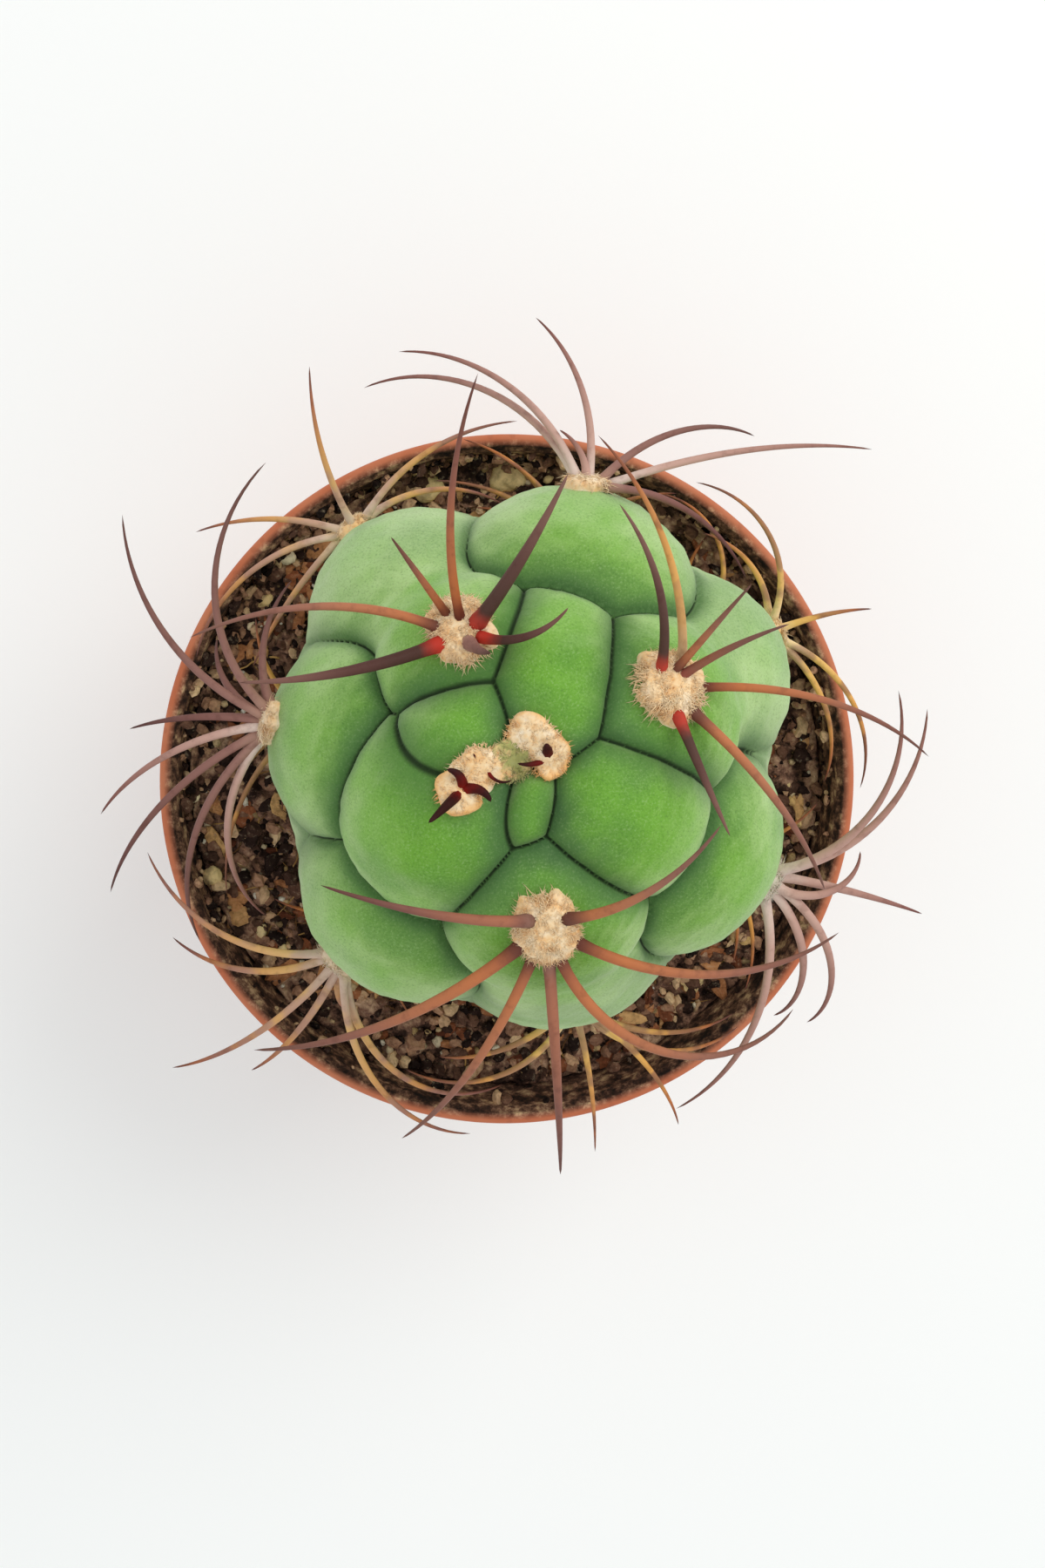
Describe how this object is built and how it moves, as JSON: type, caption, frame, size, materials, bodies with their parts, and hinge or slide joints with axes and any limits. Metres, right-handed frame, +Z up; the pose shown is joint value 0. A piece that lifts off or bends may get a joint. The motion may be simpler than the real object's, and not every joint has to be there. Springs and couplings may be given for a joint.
{
  "type": "potted cactus",
  "caption": "Round blue-green chin cactus with long curved spines and woolly areoles, growing in a thin terracotta-coloured nursery pot of dark soil.",
  "frame": {"origin": "centre of the pot's flat base, on the surface it stands on", "axes": "+Z up along the pot's axis; the plant's upper left areole lies towards -X and +Y, and -Y is the side nearest to a viewer who looks down on it"},
  "size_m": [0.0969, 0.0973, 0.115],
  "materials": {
    "pot_plastic": "satin",
    "potting_soil": "matte",
    "cactus_skin": "satin",
    "spine": "satin",
    "areole_wool": "matte",
    "pumice": "matte"
  },
  "bodies": {
    "root": {"areole_a_lower": "spine", "areole_a_upper": "spine", "areole_b_lower": "spine", "areole_b_upper": "spine", "areole_c_foot": "spine", "areole_c_lower": "spine", "areole_c_upper": "spine", "areole_d_lower": "spine", "areole_d_upper": "spine", "areole_e_lower": "spine", "areole_e_upper": "spine", "areole_f_lower": "spine", "areole_f_upper": "spine", "areole_g_lower": "spine", "areole_g_upper": "spine", "cactus_body": "cactus_skin", "crown_wool": "areole_wool", "pot": "pot_plastic", "pumice_back": "pumice", "pumice_back_left": "pumice", "pumice_front": "pumice", "soil": "potting_soil"}
  },
  "joints": []
}
